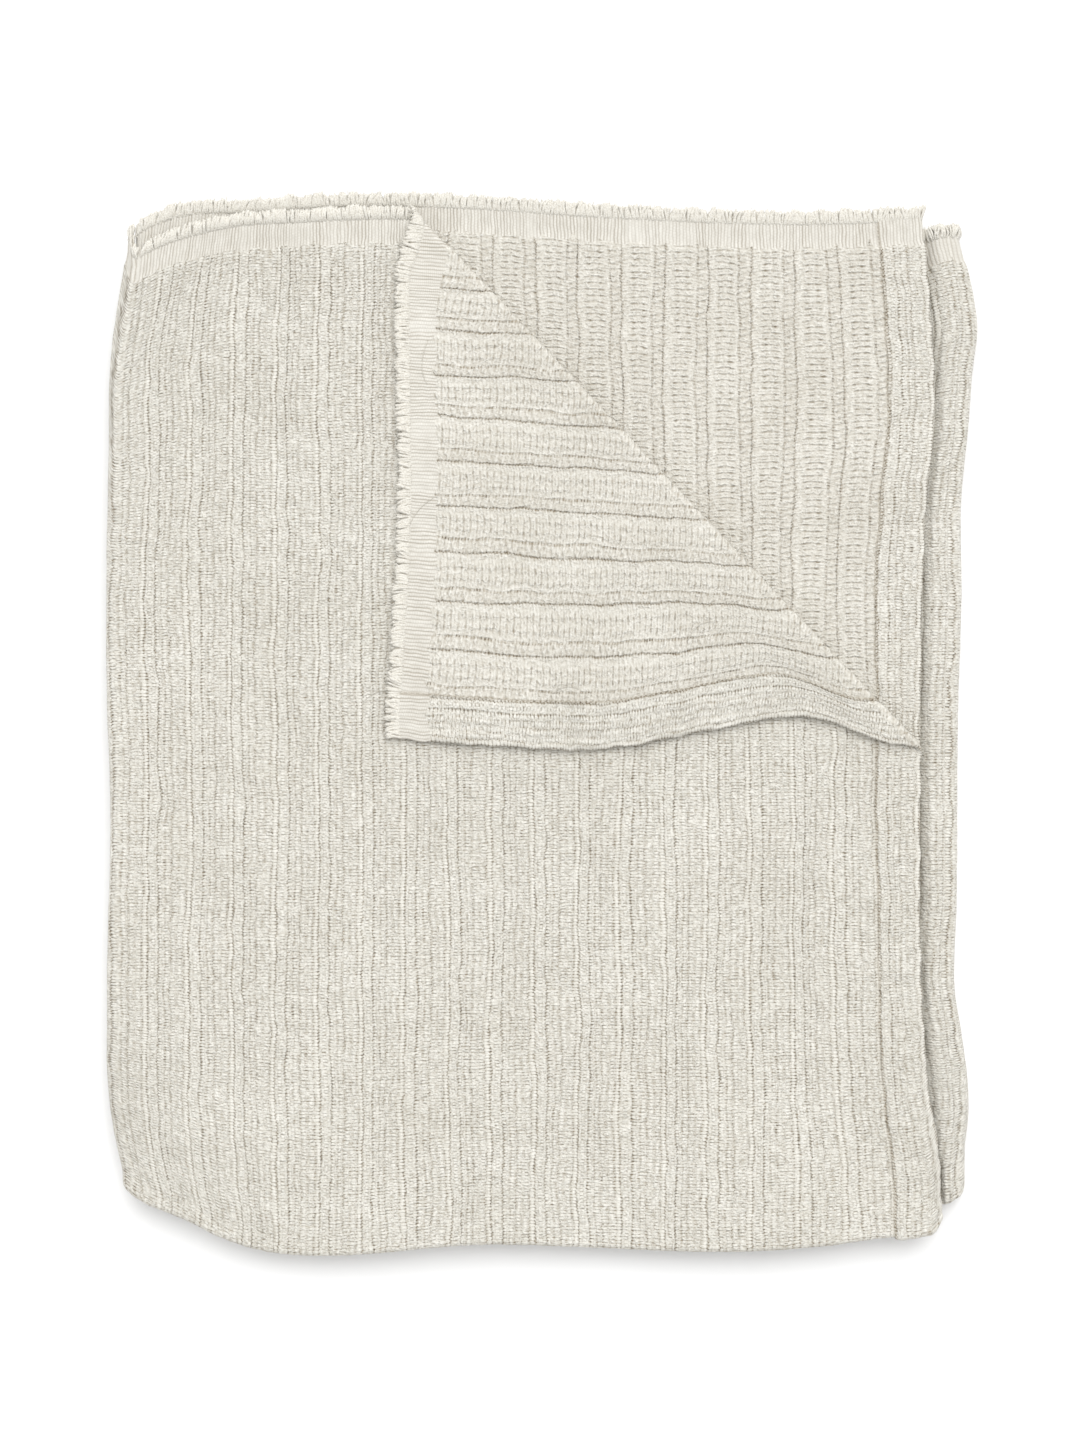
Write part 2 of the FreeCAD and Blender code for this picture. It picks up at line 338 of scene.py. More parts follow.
class Patch:
    """A flat piece of the cloth: vertices in (s, t), the same a hair inside its edge, and faces."""

    VALUES = ("s", "t", "inside_s", "inside_t")

    def __init__(self, s, t, inside_s, inside_t, faces):
        self.s, self.t = s, t
        self.inside_s, self.inside_t = inside_s, inside_t
        self.faces = faces

    @classmethod
    def grid(cls, s_lines, t_lines):
        s, t = (a.ravel() for a in np.meshgrid(s_lines, t_lines, indexing="ij"))
        hair = 0.01
        inside_s = s + hair * np.sign((s_lines[0] + s_lines[-1]) / 2 - s)
        inside_t = t + hair * np.sign((t_lines[0] + t_lines[-1]) / 2 - t)
        rows = len(t_lines)
        i = (np.arange(len(s_lines) - 1)[:, None] * rows + np.arange(rows - 1)).ravel()
        faces = np.stack([i, i + rows, i + rows + 1, i + 1], axis=1)
        return cls(s, t, inside_s, inside_t, [tuple(f) for f in faces.tolist()])

    @classmethod
    def joined(cls, patches):
        start, faces = 0, []
        for patch in patches:
            faces += [tuple(v + start for v in face) for face in patch.faces]
            start += len(patch.s)
        values = [np.concatenate([getattr(patch, name) for patch in patches]) for name in cls.VALUES]
        return cls(*values, faces)

    def split_at_crease(self):
        """The parts that stay, roll and lie turned over, cut along the diagonal crease."""
        y, lift = half_fold(self.t)
        x, z = zig_zag(wander(self.s, self.t), lift)
        x, y = settle_outline(x, y, z)
        bm = bmesh.new()
        layers = [bm.verts.layers.float.new(name) for name in self.VALUES]
        for i, point in enumerate(zip(x.tolist(), y.tolist())):
            vert = bm.verts.new((*point, 0))
            for name, layer in zip(self.VALUES, layers):
                vert[layer] = getattr(self, name)[i]
        bm.verts.ensure_lookup_table()
        for face in self.faces:
            bm.faces.new([bm.verts[i] for i in face])
        across = Vector((*CREASE_ACROSS, 0))
        edges = (0.0, ROLL)
        for distance in edges:
            geometry = [*bm.verts, *bm.edges, *bm.faces]
            point = Vector((*CREASE[:2], 0)) + across * distance
            bmesh.ops.bisect_plane(bm, geom=geometry, dist=1e-5, plane_co=point, plane_no=across)
        bm.verts.index_update()
        values = [np.array([vert[layer] for vert in bm.verts]) for layer in layers]
        faces = {"stays": [], "rolls": [], "turned": []}
        for face in bm.faces:
            past = (face.calc_center_median() - Vector((*CREASE[:2], 0))).dot(across)
            where = "stays" if past < edges[0] else "rolls" if past < edges[1] else "turned"
            faces[where].append([vert.index for vert in face.verts])
        bm.free()
        return {where: Patch.of_faces(values, found) for where, found in faces.items()}

    @classmethod
    def of_faces(cls, values, faces):
        used = sorted({v for face in faces for v in face})
        index = {v: i for i, v in enumerate(used)}
        return cls(*(value[used] for value in values), [tuple(index[v] for v in face) for face in faces])


def flat_area(patch):
    total = 0.0
    for face in patch.faces:
        s, t = patch.s[list(face)], patch.t[list(face)]
        total += abs(np.dot(s, np.roll(t, -1)) - np.dot(t, np.roll(s, -1))) / 2
    return total * MM * MM


def boundary(faces):
    """The edges that only one face has, in that face's direction."""
    seen = {}
    for face in faces:
        for a, b in zip(face, face[1:] + face[:1]):
            seen[(a, b)] = True
    return [(a, b) for a, b in seen if (b, a) not in seen]


def shell(name, patch, materials):
    """A closed piece of cloth with its two faces' relief and its rim."""
    middle, normal, along_s, along_t = surface(patch.s, patch.t)
    step, sides, normals = 0.2, [], []
    for parts, sign in ((RIGHT_COLUMNS, 1), (WRONG_COLUMNS, -1)):
        s, t = patch.inside_s, patch.inside_t
        height = half_thickness(s, t, parts)
        by_s = (half_thickness(s + step, t, parts) - height)[:, None] / step
        by_t = (half_thickness(s, t + step, parts) - height)[:, None] / step
        slope_s, slope_t = along_s + sign * normal * by_s, along_t + sign * normal * by_t
        facing = sign * np.cross(slope_s, slope_t)
        normals.append(facing / np.linalg.norm(facing, axis=1, keepdims=True))
        sides.append(middle + sign * normal * height[:, None])
    count = len(patch.s)
    points = np.concatenate(sides)
    points[:, 2] = np.maximum(points[:, 2], FLOOR_GAP)
    wrong = [tuple(v + count for v in reversed(face)) for face in patch.faces]
    rim = [(b, a, a + count, b + count) for a, b in boundary(patch.faces)]
    faces = [*patch.faces, *wrong, *rim]
    name = f"{name}_cloth"
    mesh = bpy.data.meshes.new(name)
    mesh.from_pydata((points * MM).tolist(), [], faces)
    mesh.polygons.foreach_set("use_smooth", np.ones(len(faces), bool))
    kinds = [0] * len(patch.faces) + [1] * len(wrong) + [0] * len(rim)
    mesh.polygons.foreach_set("material_index", np.array(kinds, np.int32))
    cloth = np.stack([patch.s, patch.t, into_field(patch.inside_s, patch.inside_t)], axis=1)
    attribute = mesh.attributes.new("cloth", "FLOAT_VECTOR", "POINT")
    attribute.data.foreach_set("vector", np.concatenate([cloth, cloth]).astype(np.float32).ravel())
    for material in materials:
        mesh.materials.append(material)
    mesh.update()
    loop_verts = np.zeros(len(mesh.loops), np.int32)
    mesh.loops.foreach_get("vertex_index", loop_verts)
    loop_normals = np.concatenate(normals)[loop_verts]
    rim_loops = 4 * len(rim)
    if rim_loops:
        corners = points[loop_verts[-rim_loops:]].reshape(-1, 4, 3)
        flat = np.cross(corners[:, 2] - corners[:, 0], corners[:, 3] - corners[:, 1])
        flat /= np.maximum(np.linalg.norm(flat, axis=1, keepdims=True), 1e-9)
        loop_normals[-rim_loops:] = np.repeat(flat, 4, axis=0)
    mesh.normals_split_custom_set(loop_normals.tolist())
    obj = bpy.data.objects.new(name, mesh)
    bpy.context.scene.collection.objects.link(obj)
    return obj


def tubes(name, paths, radii, material, sides=4):
    """Yarns as one mesh: paths is (yarns, points, 3) and radii (yarns, points), in millimetres."""
    yarns, count, _ = paths.shape
    tangent = np.gradient(paths, axis=1)
    tangent /= np.maximum(np.linalg.norm(tangent, axis=2, keepdims=True), 1e-9)
    helper = np.array([0.31, 0.22, 0.92])
    across = np.cross(tangent, helper)
    across /= np.maximum(np.linalg.norm(across, axis=2, keepdims=True), 1e-9)
    upward = np.cross(across, tangent)
    angle = np.arange(sides) * TAU / sides
    ring = across[:, :, None] * np.cos(angle)[:, None] + upward[:, :, None] * np.sin(angle)[:, None]
    points = paths[:, :, None] + ring * radii[:, :, None, None]
    points[..., 2] = np.maximum(points[..., 2], FLOOR_GAP)
    start = (np.arange(yarns)[:, None] * count + np.arange(count - 1)).ravel()[:, None] * sides
    around = np.arange(sides)
    after = (around + 1) % sides
    quads = np.stack([start + around, start + after, start + sides + after, start + sides + around], axis=-1)
    faces = quads.reshape(-1, 4).tolist()
    first = np.arange(yarns)[:, None] * count * sides
    faces += (first + around[::-1]).tolist()
    faces += (first + (count - 1) * sides + around).tolist()
    name = f"{name}_yarn"
    mesh = bpy.data.meshes.new(name)
    mesh.from_pydata((points.reshape(-1, 3) * MM).tolist(), [], faces)
    mesh.polygons.foreach_set("use_smooth", np.ones(len(faces), bool))
    mesh.materials.append(material)
    mesh.update()
    obj = bpy.data.objects.new(name, mesh)
    bpy.context.scene.collection.objects.link(obj)
    return obj


def on_cloth(s, t, height):
    """Points at a height above the right side of the middle surface."""
    middle, normal, _, _ = surface(s.ravel(), t.ravel())
    return (middle + normal * height.reshape(-1, 1)).reshape(*s.shape, 3)


# Materials


class Wire:
    """A number in a material's nodes that can be added, multiplied and so on."""

    def __init__(self, tree, socket):
        self.tree, self.socket = tree, socket

    def math(self, operation, *others):
        node = self.tree.nodes.new("ShaderNodeMath")
        node.operation = operation
        for socket, value in zip(node.inputs, (self, *others)):
            feed(self.tree, socket, value)
        return Wire(self.tree, node.outputs[0])

    def __add__(self, other):
        return self.math("ADD", other)

    def __sub__(self, other):
        return self.math("SUBTRACT", other)

    def __mul__(self, other):
        return self.math("MULTIPLY", other)

    def __truediv__(self, other):
        return self.math("DIVIDE", other)

    def __mod__(self, other):
        return self.math("FLOORED_MODULO", other)

    def flipped(self):
        """1 minus the value."""
        return self.math("MULTIPLY", -1.0) + 1.0

    def ramp(self, low, high):
        """0 below low and 1 above high, smoothly, or the other way round where low is higher."""
        node = self.tree.nodes.new("ShaderNodeMapRange")
        node.interpolation_type = "SMOOTHSTEP"
        feed(self.tree, node.inputs["Value"], self)
        turned = low > high
        node.inputs["From Min"].default_value = min(low, high)
        node.inputs["From Max"].default_value = max(low, high)
        node.inputs["To Min"].default_value = float(turned)
        node.inputs["To Max"].default_value = float(not turned)
        return Wire(self.tree, node.outputs["Result"])


def feed(tree, socket, value):
    if isinstance(value, Wire):
        tree.links.new(value.socket, socket)
    else:
        socket.default_value = value


class Weave:
    """A material's node tree with the cloth's own coordinates, and the patterns made from them."""

    def __init__(self, name):
        self.material = bpy.data.materials.new(name)
        self.material.use_nodes = True
        self.tree = self.material.node_tree
        self.shader = self.tree.nodes["Principled BSDF"]
        self.shader.inputs["IOR"].default_value = 1.4
        self.shader.inputs["Specular IOR Level"].default_value = 0.12
        attribute = self.tree.nodes.new("ShaderNodeAttribute")
        attribute.attribute_name = "cloth"
        apart = self.tree.nodes.new("ShaderNodeSeparateXYZ")
        self.tree.links.new(attribute.outputs["Vector"], apart.inputs[0])
        self.s, self.t, self.field = (Wire(self.tree, out) for out in apart.outputs)

    def vector(self, x, y, z=0.0):
        node = self.tree.nodes.new("ShaderNodeCombineXYZ")
        for socket, value in zip(node.inputs, (x, y, z)):
            feed(self.tree, socket, value)
        return node.outputs[0]

    def noise(self, x, y, seed=0.0, detail=2.0):
        """Noise from about -1 to 1, with features one unit of x and y wide."""
        node = self.tree.nodes.new("ShaderNodeTexNoise")
        node.inputs["Scale"].default_value = 1.0
        node.inputs["Detail"].default_value = detail
        self.tree.links.new(self.vector(x, y, seed), node.inputs["Vector"])
        return (Wire(self.tree, node.outputs["Fac"]) - 0.5) * 2.4

    def chance(self, x, y, seed=0.0):
        """A random number from 0 to 1 for each pair of whole numbers."""
        node = self.tree.nodes.new("ShaderNodeTexWhiteNoise")
        node.noise_dimensions = "3D"
        self.tree.links.new(self.vector(x.math("FLOOR"), y.math("FLOOR"), seed), node.inputs["Vector"])
        return Wire(self.tree, node.outputs["Value"])

    def bars(self, u):
        """Rounded bars, one to each whole number of u: 0 between them and 1 along their tops."""
        across = (u % 1.0) * 2.0 - 1.0
        return (across * across).flipped()

    def threads(self, u):
        """Round threads side by side, one to each whole number of u: 0 in the gaps and 1 along their tops."""
        return self.bars(u).math("SQRT")

    def line(self, p, at, width):
        """1 on a line across one rib repeat, fading to 0 a width away."""
        away = ((p - (at - RIB / 2)) % RIB - RIB / 2).math("ABSOLUTE")
        return away.ramp(width, 0.0)

    def band(self, p, start, stop, soft=0.4):
        return p.ramp(start - soft, start + soft) * p.ramp(stop + soft, stop - soft)

    def mix(self, share, plain, mixed):
        node = self.tree.nodes.new("ShaderNodeMix")
        node.data_type = "RGBA"
        feed(self.tree, node.inputs["Factor"], share)
        for name, value in (("A", plain), ("B", mixed)):
            socket = next(i for i in node.inputs if i.name == name and i.type == "RGBA")
            if isinstance(value, tuple):
                socket.default_value = (*value, 1.0)
            else:
                self.tree.links.new(value, socket)
        return next(o for o in node.outputs if o.type == "RGBA")

    def finish(self, colour, height, roughness=0.92, sheen=0.12):
        """Colour, and a height in millimetres for the bump."""
        self.tree.links.new(colour, self.shader.inputs["Base Color"])
        bump = self.tree.nodes.new("ShaderNodeBump")
        bump.inputs["Strength"].default_value = 1.0
        bump.inputs["Distance"].default_value = MM
        feed(self.tree, bump.inputs["Height"], height)
        self.tree.links.new(bump.outputs["Normal"], self.shader.inputs["Normal"])
        self.shader.inputs["Roughness"].default_value = roughness
        self.shader.inputs["Sheen Weight"].default_value = sheen
        self.shader.inputs["Sheen Roughness"].default_value = 0.6
        return self.material


COTTON = (0.645, 0.625, 0.56)
BRIGHT = (0.83, 0.812, 0.755)
# painted shade: the tan that the weave's gaps, pin lines, stitch crease, fringe roots and the yarns' low
# spots are mixed towards
HOLLOW_SHADE = (0.29, 0.235, 0.16)
# painted shade: the near black of the pin holes, for the shadow seen through them
PIN_HOLE_SHADE = (0.09, 0.07, 0.05)
TAPE_COLOUR = (0.63, 0.607, 0.55)


def right_weave(weave, s, t):
    """Four unlike columns to a repeat, crossed by short bars. Returns height, the painted shade in its
    hollows and pin holes.
    """
    p = s % RIB
    edges = [start for start, _, _ in RIGHT_COLUMNS]
    first, second, third = (p.math("GREATER_THAN", edge) for edge in edges[1:])
    column = first + second + third + (s / RIB).math("FLOOR") * 5.0 + 0.5
    row = t / 2.05 + weave.chance(column, column, 10.0) * 3.0
    grain = s / 2.25
    count = row + grain.math("FLOOR") * 0.5
    bar = weave.threads(count)
    between = weave.bars(row).ramp(0.75, 0.05)
    side = weave.bars(grain)
    luck = weave.chance(count, grain, 11.0)
    cord = weave.band(p, 0.0, edges[1])
    strength = (luck * 0.6 + weave.noise(s / 5.0, t / 4.0, 19.0) * 0.6 + 0.45) * (cord * -0.4 + 1.0)
    puffs = weave.noise(s / 2.3, t / 1.9, 6.0) * (cord * -0.5 + 1.0)
    knots = weave.noise(s / 1.5, t / 1.2, 20.0, 1.0) * (cord * -0.4 + 1.0)
    stretches = weave.noise(s / 8.0, t / 13.0, 22.0) * 1.0 + 0.9
    height = (bar * 0.34 + side * 0.1) * strength - between * 0.15 + puffs * 0.55 + knots * 0.45 + cord * 0.2
    # painted shade: the gaps between threads and rows and the dotted pin lines are darkened, less on the
    # puffs and knots
    hollow_shade = (bar.flipped() * 0.45 + side.flipped() * 0.18) * strength + between * luck * 0.4
    hollow_shade = hollow_shade - puffs * 0.4 - knots * 0.44
    pins = None
    for at, depth in zip([*edges, 7.9, 16.2], (1.0, 0.8, 0.75, 0.95, 0.45, 0.5)):
        line = weave.line(p, at, 1.15)
        chance = weave.chance(row, column + at, 12.0)
        dots = line * (between * 0.85 + 0.15) * (chance * 0.9 + 0.1) * stretches * depth
        hollow_shade = hollow_shade + dots * 2.7
        height = height - line * 0.25 - dots * 0.5
        open_here = (chance * stretches).math("GREATER_THAN", 1.2 - 0.25 * depth)
        pin = line.ramp(0.3, 0.8) * between.ramp(0.2, 0.7) * open_here
        pins = pin if pins is None else pins + pin
    return height, hollow_shade, pins


def wrong_weave(weave, s, t):
    """A close column and a wide one crossed by rungs of floats. Returns height, the painted shade in its
    hollows and pin holes.
    """
    p = s % RIB
    repeat = (s / RIB).math("FLOOR") + 0.5
    close = WRONG_COLUMNS[0][1]
    arch = (p - 16.0) * (p - 16.0) * 0.009
    count = (t + arch) / 1.95 + weave.chance(repeat, repeat, 13.0) * 3.0
    thread = weave.threads(count)
    rungs = count / 2.0
    luck = weave.chance(rungs, repeat + (p / 7.0).math("FLOOR") * 9.0, 14.0)
    wide = weave.band(p, close, RIB - 0.2)
    gap = weave.bars(rungs).ramp(0.8, 0.1)
    patchy = weave.noise(s / 8.0, t / 8.0, 23.0) * 0.9 + 0.7
    ladder = weave.band(p, 10.0, 22.0, 1.2)
    loose = t.ramp(300.0, 900.0) * 0.35 + 0.65
    dashes = weave.line(p, 12.6, 2.6) + weave.line(p, 19.2, 2.6) + weave.line(p, 25.4, 1.8) * 0.5
    dashes = gap * dashes * patchy * loose
    puffs = weave.noise(s / 2.2, t / 2.2, 6.0)
    knots = weave.noise(s / 1.5, t / 1.3, 20.0, 1.0)
    beads = weave.bars(count / 2.0 + p * 0.1)
    rows = weave.bars((p - 6.1) / 6.9)
    height = wide * (rows.flipped() * 0.5 - gap * ladder * loose * 0.35 + thread * 0.14) - dashes * luck * 0.4
    height = height + wide.flipped() * (beads * 0.5 + thread * 0.12) + puffs * 0.6 + knots * 0.4
    # painted shade: the dashes, rung gaps, thread gaps and dotted pin lines are darkened, with a small even
    # tint, less on the puffs and knots
    hollow_shade = dashes * (luck * 0.5 + 0.14) + gap * ladder * 0.16 + wide * thread.flipped() * 0.22 + 0.15
    hollow_shade = hollow_shade + wide.flipped() * (beads.flipped() * 0.22 + thread.flipped() * 0.25)
    hollow_shade = hollow_shade - puffs * 0.34 - knots * 0.32
    pins = None
    for at, depth in ((0.0, 1.0), (close, 0.75)):
        line = weave.line(p, at, 1.15)
        chance = weave.chance(count, repeat + at, 16.0)
        dots = line * (thread.flipped() * 0.7 + 0.3) * (chance * 0.8 + 0.2) * (patchy * 0.5 + 0.6) * depth
        hollow_shade = hollow_shade + dots * (loose * -1.5 + 2.8)
        height = height - line * 0.45 - dots * 0.4
        pin = line.ramp(0.3, 0.8) * thread.ramp(0.9, 0.4) * chance.math("GREATER_THAN", 1 - 0.1 * depth)
        pins = pin if pins is None else pins + pin
    return height, hollow_shade, pins


def cloth_material(name, weave_of):
    """The ribbed weave, with the close tape along its selvedges."""
    weave = Weave(name)
    s = weave.s + weave.noise(weave.s / 7.0, weave.t / 9.0, 1.0) * 0.45
    s = s + weave.noise(weave.s / 2.8, weave.t / 2.4, 17.0) * 0.6
    s = s + weave.noise(weave.s / 18.0, weave.t / 26.0, 24.0) * 1.7
    t = weave.t + weave.noise(weave.s / 8.0, weave.t / 9.0, 2.0) * 0.8
    t = t + weave.noise(weave.s / 3.0, weave.t / 3.4, 18.0) * 0.3
    fuzz = weave.noise(weave.s / 0.7, weave.t / 0.7, 3.0, 3.0)
    streak = weave.noise(weave.s / 2.4, weave.t / 9.0, 4.0, 3.0)
    cloudy = weave.noise(weave.s / 60.0, weave.t / 45.0, 5.0)
    height, hollow_shade, pins = weave_of(weave, s, t)
    rib_count = weave.s / 2.1 + weave.noise(weave.s / 6.0, weave.t / 7.0, 9.0) * 0.3
    ribs = weave.bars(rib_count)
    beads = weave.bars(weave.t / 0.95 + rib_count.math("FLOOR") * 0.5)
    rib_luck = weave.chance(rib_count, rib_count, 21.0)
    # painted shade at the fringe's roots, where the tape meets the fringe
    fringe_root_shade = weave.t.ramp(4.6, 2.4) + weave.t.ramp(T_END - 4.6, T_END - 2.4)
    on_tape = weave.field.ramp(0.5, 0.2)
    plain = on_tape.flipped()
    # painted shade along the stitched crease beside each hem
    first_seam_shade, last_seam_shade = ((weave.s - at).math("ABSOLUTE").ramp(1.5, 0.0) for at in (HEM, S_END - HEM))
    seam_shade = first_seam_shade + last_seam_shade
    height = height * plain + (ribs * (rib_luck * 0.2 + 0.12) + beads * 0.14) * on_tape
    height = height + fuzz * 0.1 + streak * 0.08
    # painted shade in the gaps between the tape's ribs and beads and at the fringe's roots
    tape_hollow_shade = ribs.flipped() * (rib_luck * 0.5 + 0.22) + beads.flipped() * 0.2 + fringe_root_shade * 0.15
    hollow_shade = hollow_shade * plain + tape_hollow_shade * on_tape + seam_shade * 0.5 + fuzz * 0.1 - cloudy * 0.05
    colour = weave.mix(on_tape, COTTON, TAPE_COLOUR)
    colour = weave.mix((streak * 0.7 + cloudy * 0.25).ramp(-0.7, 0.9), colour, BRIGHT)
    # the painted shade is mixed in here, with a little random tone from the fuzz and cloudy noise
    colour = weave.mix((hollow_shade * 0.9).math("MAXIMUM", 0.0).math("MINIMUM", 1.0), colour, HOLLOW_SHADE)
    # the pin holes are painted near black as painted shade; the cloth is not cut there
    colour = weave.mix((pins * plain).math("MINIMUM", 1.0), colour, PIN_HOLE_SHADE)
    return weave.finish(colour, height)


def yarn_material(name, colour, size):
    """Soft spun yarn, lighter and darker from end to end."""
    weave = Weave(name)
    where = weave.tree.nodes.new("ShaderNodeTexCoord").outputs["Object"]
    node = weave.tree.nodes.new("ShaderNodeTexNoise")
    node.inputs["Scale"].default_value = 1 / (size * MM)
    node.inputs["Detail"].default_value = 3.0
    weave.tree.links.new(where, node.inputs["Vector"])
    value = Wire(weave.tree, node.outputs["Fac"])
    # painted shade: the yarn is darkened towards a tan where its bump noise is low
    return weave.finish(weave.mix(value.ramp(0.62, 0.3) * 0.35, colour, HOLLOW_SHADE), value * 0.5)


RIGHT_SIDE = cloth_material("ribbed_cloth_right", right_weave)
WRONG_SIDE = cloth_material("ribbed_cloth_wrong", wrong_weave)
FRINGE_YARN = yarn_material("fringe_yarn", (0.79, 0.768, 0.705), 0.9)
THREAD = yarn_material("sewing_thread", (0.65, 0.625, 0.56), 0.8)

# Putting the throw together
FINE, COARSE = 3.0, 6.0  # between mesh lines along the ribs
FOLD_STEP, FRONT_STEP = 1.0, 0.8  # between mesh lines round a side fold and round the front fold
FRONT_START, FRONT_END = LEAF, LEAF + HALF
PANELS = {
    "top": (0, TOP_END, "upper", "lower"),
    "middle": (MIDDLE_START, MIDDLE_END, "lower", "upper"),
    "base": (BASE_START, S_END, "upper", "lower"),
}
CLOTH = (RIGHT_SIDE, WRONG_SIDE)


def lines(s_from, s_to, t_from, t_to, fine):
    s_lines = rib_lines(s_from, s_to, FINE_RIB if fine else COARSE_RIB)
    t_lines = edge_lines(t_from, t_to, FINE if fine else COARSE)
    if s_to - s_from < BEND + 1:
        s_lines = steps(s_from, s_to, FOLD_STEP)
    if t_to - t_from < HALF + 1:
        t_lines = steps(t_from, t_to, FRONT_STEP)
    return s_lines, t_lines


def patch_of(s_from, s_to, t_from, t_to, fine=False):
    return Patch.grid(*lines(s_from, s_to, t_from, t_to, fine))


def stands(obj, nodes):
    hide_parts(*nodes)
    return obj


def bend(obj, fold, radius):
    """obj's placement is baked into its mesh; a pivot on one of the side folds' axes, at that radius from it,
    is worked out but not used.
    """
    reach = (radius * 0.86 - 0.35 * min(radius, 2.5)) * MM
    if fold == "right":
        pivot = np.array([AXIS_X, 0, RIGHT_Z]) * MM
        pivot - [0, 0, reach]
        pivot + [0, 0, reach]
        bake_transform(obj)
    else:
        pivot = np.array([-AXIS_X, 0, LEFT_Z]) * MM
        pivot + [0, 0, reach]
        pivot - [0, 0, reach]
        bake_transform(obj)


def roll(obj):
    """obj's placement is baked into its mesh; the corner's crease axis is worked out but not used."""
    low = np.array([*CREASE[:2], CREASE[2] - 0.62 * ROLL_R]) * MM
    high = np.array([*CREASE[:2], CREASE[2] + 0.62 * ROLL_R]) * MM
    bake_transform(obj)


def mirrored(t_from, t_to):
    return T_END - t_to, T_END - t_from


def panel_leaf(panel, leaf, t_range_of):
    """A leaf with its tape and, at an end panel, its hem."""
    start, stop, _, _ = PANELS[panel]
    hem = {"top": (0, HEM), "base": (S_END - HEM, S_END)}.get(panel)
    low, high = (HEM, stop) if panel == "top" else (start, S_END - HEM) if panel == "base" else (start, stop)
    pieces = {
        "leaf": patch_of(low, high, *t_range_of(TAPE, LEAF), fine=leaf == "upper" and panel == "top"),
        "selvedge": patch_of(low, high, *t_range_of(0, TAPE), fine=leaf == "upper" and panel == "top"),
    }
    if hem:
        pieces["hem"] = patch_of(*hem, *t_range_of(0, LEAF), fine=leaf == "upper" and panel == "top")
    return pieces


# a hem is turned to the wrong side, so it shows the right side of the cloth on both faces
FACES = {"leaf": CLOTH, "hem": (RIGHT_SIDE, RIGHT_SIDE), "selvedge": CLOTH}
made = {}


def keep_piece(name, obj, nodes, body=None):
    made[name] = stands(obj, nodes)
    if body:
        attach(obj, body)


rolls, areas = [], {}
for panel, (start, stop, small, large) in PANELS.items():
    for leaf, t_range_of in ((small, lambda a, b: (a, b)), (large, mirrored)):
        for part, patch in panel_leaf(panel, leaf, t_range_of).items():
            name = f"{panel}_{leaf}_{part}"
            if panel == "top" and leaf == "upper":
                cut = patch.split_at_crease()
                rolls.append(cut["rolls"])
                if part == "leaf":
                    areas = {where: flat_area(cut[where]) for where in ("stays", "turned")}
                flap = f"flap_{part}"
                keep_piece(flap, shell(flap, cut["turned"], FACES[part]), [flap], "corner_flap")
                patch = cut["stays"]
            keep_piece(name, shell(name, patch, FACES[part]), [name], f"{panel}_panel")
    name = f"{panel}_front_fold"
    patch = patch_of(start, stop, FRONT_START, FRONT_END, fine=panel == "top")
    keep_piece(name, shell(name, patch, CLOTH), [name], f"{panel}_panel")

keep_piece("corner_roll", shell("corner_roll", Patch.joined(rolls), CLOTH), ["corner_roll"])
roll(made["corner_roll"])

OUTER_R, INNER_R = BEND_R + HALF_R, BEND_R - HALF_R
FOLDS = {
    "left": (TOP_END, MIDDLE_START, (("outer", 0), ("inner", 1))),
    "right": (MIDDLE_END, BASE_START, (("inner", 0), ("outer", 1))),
}
RINGS = 5
for fold, (start, stop, plies) in FOLDS.items():
    for ply, is_large in plies:
        t_range_of = mirrored if is_large else lambda a, b: (a, b)
        radius = OUTER_R if ply == "outer" else INNER_R
        for part, span in (("leaf", (TAPE, LEAF)), ("selvedge", (0, TAPE))):
            node = f"{fold}_fold_{ply}" if part == "leaf" else f"{fold}_fold_selvedge"
            name = node if part == "leaf" else f"{node}_{ply}"
            patch = patch_of(start, stop, *t_range_of(*span), fine=True)
            keep_piece(name, shell(name, patch, CLOTH), [node])
            bend(made[name], fold, radius)
    for i in range(RINGS):
        t_from, t_to = (FRONT_START + HALF * k / RINGS for k in (i, i + 1))
        name = f"{fold}_fold_corner_{i + 1}"
        obj = shell(name, Patch.grid(steps(start, stop, FOLD_STEP), steps(t_from, t_to, FRONT_STEP)), CLOTH)
        keep_piece(name, obj, [f"{fold}_fold_outer"])
        turn = math.pi * (i + 0.5) / RINGS
        bend(obj, fold, BEND_R + HALF_R * math.cos(turn) * (1 if fold == "left" else -1))


